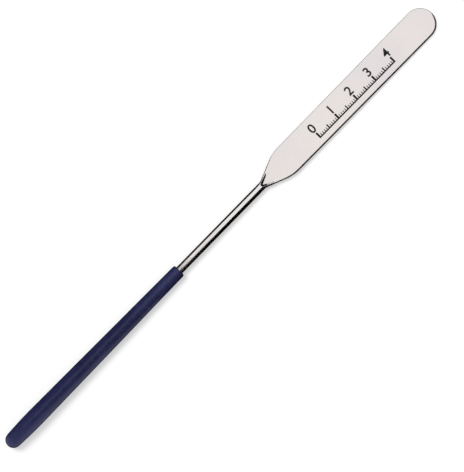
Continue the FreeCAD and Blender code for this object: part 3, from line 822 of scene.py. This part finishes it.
for start, end, near, far in ((flag_start, neck_flag_end, -flag_side, 0),
                              (neck_flag_end, tip_flag_end, -edge_flag_width, 0),
                              (strip_start, tip_flag_end, 0, strip_width),
                              (strip_start, flag_start, -grip_foot_flag, 0)):
    lay_card(flag_shape, [(start, near, flag_lift), (end, near, flag_lift),
                          (end, far, flag_lift), (start, far, flag_lift)])
for left_top, right_top in ((near_flag_start, near_flag_end), (lip_start, lip_end)):
    lay_card(flag_shape, [(*left_top[:2], 0), (*right_top[:2], 0), right_top, left_top])
for gap, height, tip_turn in ((brim_foot_gap, 0, brim_foot_turn),
                              (brim_top_gap, brim_height, brim_top_turn)):
    point = flag_shape.verts.new(
        lay_down @ Vector((neck_x, -tongue_half - brim_foot_gap, height * brim_start_share)))
    point = draw_to(flag_shape, point, lay_down @ Vector((shoulder_x, -heel_half - gap, height)))
    point = draw_to(flag_shape, point, lay_down @ Vector((tip_centre, -tip_half - gap, height)))
    turn_point(flag_shape, point, lay_down @ Vector((tip_centre, 0, height)),
               tip_turn, brim_steps)
brim_edges = [edge for edge in flag_shape.edges if not edge.link_faces]
bmesh.ops.bridge_loops(flag_shape, edges=brim_edges)
hood_foot = flag_shape.verts.new((hood_start, -hood_radius * math.cos(butt_opening),
                                  hood_radius * math.sin(butt_opening)))
hood_rim = draw_to(flag_shape, hood_foot, (hood_end, -hood_radius * math.cos(front_opening),
                                           hood_radius * math.sin(front_opening)))
bmesh.ops.spin(flag_shape, geom=[hood_foot, hood_rim, hood_foot.link_edges[0]], cent=(0, 0, 0),
               axis=(1, 0, 0), angle=-math.pi, steps=hood_steps)
flags = add_object("Flags", flag_shape, flag_card)
flags.visible_camera = False
flags.visible_diffuse = False
flags.visible_transmission = False
flags.visible_shadow = False

# Room: even light from all round, seen as white, one broad soft key from overhead, and a
# slim strip box whose mirror image runs along the top of the grip. Levels are shares of
# full light on a surface that faces the lamp.
ambient_level = 0.52
key_level = 0.52
key_spread = math.radians(26)
key_tilt = math.radians(24)
key_heading = math.radians(100)
strip_level = 0.20
strip_height = 0.05
strip_tilt = math.radians(12)
strip_length = 0.085
strip_breadth = 0.007
strip_middle_x = -0.066

world = bpy.data.worlds.new("Studio")
bpy.context.scene.world = world
world.use_nodes = True
room = world.node_tree
room_strength = span(room, seen_rays(room), 0.0, 1.0, ambient_level, 1.0)
room.nodes["Background"].inputs["Color"].default_value = (1, 1, 1, 1)
room.links.new(room_strength, room.nodes["Background"].inputs["Strength"])


def hang_lamp(name, kind, energy, target, away, distance):
    """Hang a lamp at a distance from a target, facing it."""
    lamp = bpy.data.lights.new(name, kind)
    lamp.energy = energy
    hung = bpy.data.objects.new(name, lamp)
    bpy.context.scene.collection.objects.link(hung)
    hung.location = target + away * distance
    hung.rotation_euler = away.to_track_quat("Z", "Y").to_euler()
    return hung


key_away = Vector((math.sin(key_tilt) * math.cos(key_heading),
                   math.sin(key_tilt) * math.sin(key_heading), math.cos(key_tilt)))
key = hang_lamp("Broad key", "SUN", key_level * math.pi, Vector(), key_away, 1.0)
key.data.angle = key_spread
key.visible_glossy = False
strip_away = Vector((0, math.sin(strip_tilt), math.cos(strip_tilt)))
strip = hang_lamp("Grip strip", "AREA", strip_level * math.pi ** 2 * strip_height ** 2,
                  Vector((strip_middle_x, 0, rest_height / 1000)), strip_away, strip_height)
strip.data.shape = "RECTANGLE"
strip.data.size = strip_length
strip.data.size_y = strip_breadth
strip.visible_diffuse = False

# Camera: far off with a long lens, above the knife and a little to its near side, turned
# so that the knife runs up to the right across the frame.
lens = 200.0
sensor = 36.0
frame_height_pixels = 472
millimetres_per_pixel = 0.3773
camera_tilt = math.radians(8.0)
knife_slope = math.radians(45.755)
aim_x = 0.0012
aim_aside = -0.00514
aim_z = 0.0023
nearest = 0.05
farthest = 10.0

camera_data = bpy.data.cameras.new("Camera")
camera_data.lens = lens
camera_data.sensor_width = sensor
camera = bpy.data.objects.new("Camera", camera_data)
bpy.context.scene.collection.objects.link(camera)
bpy.context.scene.camera = camera
distance = millimetres_per_pixel * frame_height_pixels * lens / sensor / 1000
toward_camera = Vector((0, -math.sin(camera_tilt), math.cos(camera_tilt)))
across_knife = Vector((0, math.cos(camera_tilt), math.sin(camera_tilt)))
along_knife = Vector((1, 0, 0))
picture_right = along_knife * math.cos(knife_slope) - across_knife * math.sin(knife_slope)
picture_up = along_knife * math.sin(knife_slope) + across_knife * math.cos(knife_slope)
aim = Vector((aim_x, 0, aim_z)) + across_knife * aim_aside
turn = Matrix((picture_right, picture_up, toward_camera)).transposed()
camera.matrix_world = Matrix.Translation(aim + toward_camera * distance) @ turn.to_4x4()
camera_data.clip_start = nearest
camera_data.clip_end = farthest

bpy.context.scene.view_settings.view_transform = "Standard"

bpy.context.view_layer.update()
